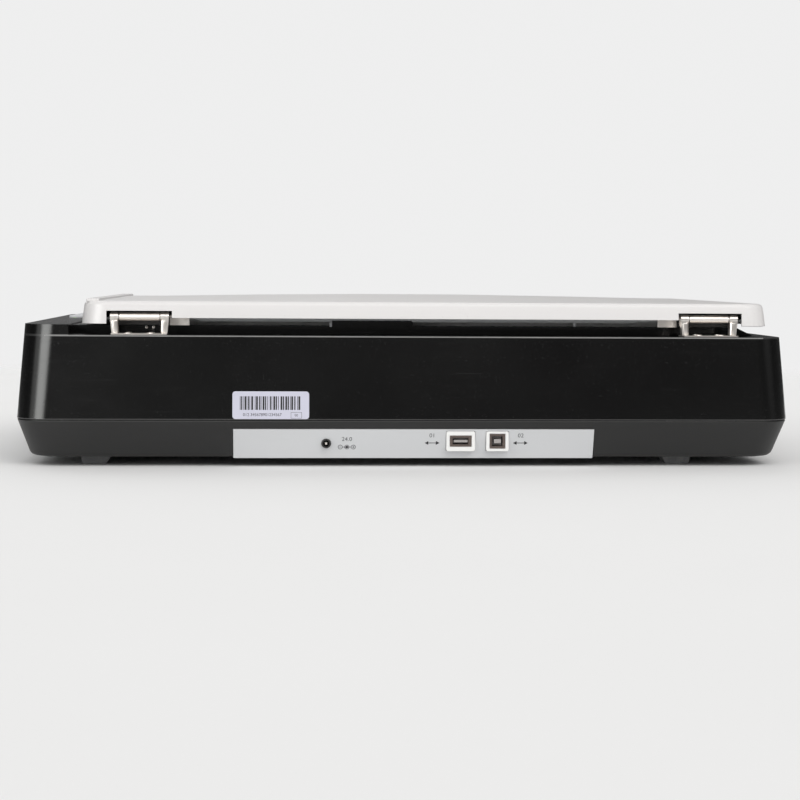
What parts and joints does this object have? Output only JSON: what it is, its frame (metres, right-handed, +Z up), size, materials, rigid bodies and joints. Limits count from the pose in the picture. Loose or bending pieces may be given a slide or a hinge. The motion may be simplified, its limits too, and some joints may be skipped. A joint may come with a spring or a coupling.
{
  "type": "flatbed scanner",
  "caption": "Large-format flatbed scanner with a hinged crowned lid, a geared belt-driven scan carriage under glass, push keys on a side strip and rear sockets.",
  "frame": {"origin": "on the surface that the feet stand on, under the middle of the body's outline", "axes": "+X along the long side to the end with the control strip, +Y to the rear with the sockets and lid hinges, +Z up"},
  "size_m": [0.6198, 0.3998, 0.1353],
  "materials": {
    "tub_grey": "fine moulded texture, satin",
    "shell_black": "soft gloss",
    "socket_plate": "satin",
    "black_plastic": "satin",
    "white_plastic": "satin",
    "natural_plastic": "unfilled engineering plastic",
    "platen_glass": "polished",
    "circuit_board": "solder mask",
    "lens": "clear tinted",
    "rubber": "matt",
    "nickel": "satin nickel plate",
    "steel": "bright",
    "brass": "turned",
    "mirror": "front-surface mirror",
    "cover_white": "soft gloss",
    "panel_grey": "satin",
    "document_mat": "white foam-backed mat",
    "key_grey": "satin"
  },
  "bodies": {
    "base": {"lower_housing": "tub_grey", "upper_housing": "shell_black", "connector_panel": "socket_plate", "power_socket": "black_plastic", "power_socket_pin": "nickel", "usb_host_bezel": "white_plastic", "usb_host_shell": "steel", "usb_host_insert": "white_plastic", "usb_device_bezel": "white_plastic", "usb_device_shell": "steel", "usb_device_insert": "white_plastic", "platen_glass": "platen_glass", "calibration_strip": "white_plastic", "guide_rod": "steel", "support_rail": "steel", "drive_motor": "steel", "motor_bracket": "steel", "main_board": "circuit_board", "key_board": "circuit_board", "status_lens": "lens", "foot_front_left": "rubber", "foot_front_right": "rubber", "foot_rear_left": "rubber", "foot_rear_right": "rubber", "hinge_base_left": "nickel", "hinge_base_right": "nickel", "hinge_pin_left": "steel", "hinge_pin_right": "steel", "drive_belt": "rubber", "idler_bracket": "steel", "idler_axle": "steel", "belt_tension_spring": "steel", "gear_axle": "steel"},
    "lid": {"lid_cover": "cover_white", "lid_inner_panel": "panel_grey", "document_pad": "document_mat", "hinge_leaf_left": "nickel", "hinge_leaf_right": "nickel", "bumper_left": "rubber", "bumper_right": "rubber"},
    "carriage": {"carriage_housing": "black_plastic", "carriage_cover": "steel", "scan_lamp": "white_plastic", "mirror_1": "mirror", "mirror_2": "mirror", "mirror_3": "mirror", "lens_barrel": "black_plastic", "sensor_board": "circuit_board", "belt_clip": "natural_plastic", "rod_bush_a": "brass", "rod_bush_b": "brass", "slide_shoe": "natural_plastic"},
    "pinion": {"motor_pinion": "brass"},
    "gear_wheel": {"reduction_gear": "natural_plastic"},
    "idler": {"idler_pulley": "natural_plastic"},
    "push_key_1": {"key_1": "key_grey"},
    "push_key_2": {"key_2": "key_grey"},
    "push_key_3": {"key_3": "key_grey"},
    "push_key_4": {"key_4": "key_grey"},
    "push_key_5": {"key_5": "key_grey"}
  },
  "joints": [
    {"name": "lid_hinge", "type": "hinge", "parent": "base", "child": "lid", "pos_m": [-0.01705, 0.179, 0.1183], "axis": [-1, 0, 0], "range_deg": [0, 90]},
    {"name": "carriage_travel", "type": "slide", "parent": "base", "child": "carriage", "axis": [-1, 0, 0], "range_m": [0, 0.438]},
    {"name": "gear_wheel_turn", "type": "hinge", "parent": "base", "child": "gear_wheel", "pos_m": [-0.262, 0.062, 0.05], "axis": [0, 0, -1], "range_deg": [0, 3140]},
    {"name": "pinion_turn", "type": "hinge", "parent": "base", "child": "pinion", "pos_m": [-0.262, 0.0828, 0.05], "axis": [0, 0, 1], "range_deg": [0, 10460]},
    {"name": "idler_turn", "type": "hinge", "parent": "base", "child": "idler", "pos_m": [0.266, 0.062, 0.05], "axis": [0, 0, -1], "range_deg": [0, 3140]},
    {"name": "key_1_press", "type": "slide", "parent": "base", "child": "push_key_1", "axis": [0, 0, -1], "range_m": [0, 0.001], "stiffness_N_per_m": 300, "springref_m": -0.0015},
    {"name": "key_2_press", "type": "slide", "parent": "base", "child": "push_key_2", "axis": [0, 0, -1], "range_m": [0, 0.001], "stiffness_N_per_m": 300, "springref_m": -0.0015},
    {"name": "key_3_press", "type": "slide", "parent": "base", "child": "push_key_3", "axis": [0, 0, -1], "range_m": [0, 0.001], "stiffness_N_per_m": 300, "springref_m": -0.0015},
    {"name": "key_4_press", "type": "slide", "parent": "base", "child": "push_key_4", "axis": [0, 0, -1], "range_m": [0, 0.001], "stiffness_N_per_m": 300, "springref_m": -0.0015},
    {"name": "key_5_press", "type": "slide", "parent": "base", "child": "push_key_5", "axis": [0, 0, -1], "range_m": [0, 0.001], "stiffness_N_per_m": 300, "springref_m": -0.0015}
  ],
  "couplings": [
    {"joint": "gear_wheel_turn", "follows": "carriage_travel", "rad_per_m": 125},
    {"joint": "idler_turn", "follows": "carriage_travel", "rad_per_m": 125},
    {"joint": "pinion_turn", "follows": "carriage_travel", "rad_per_m": 416.67}
  ]
}
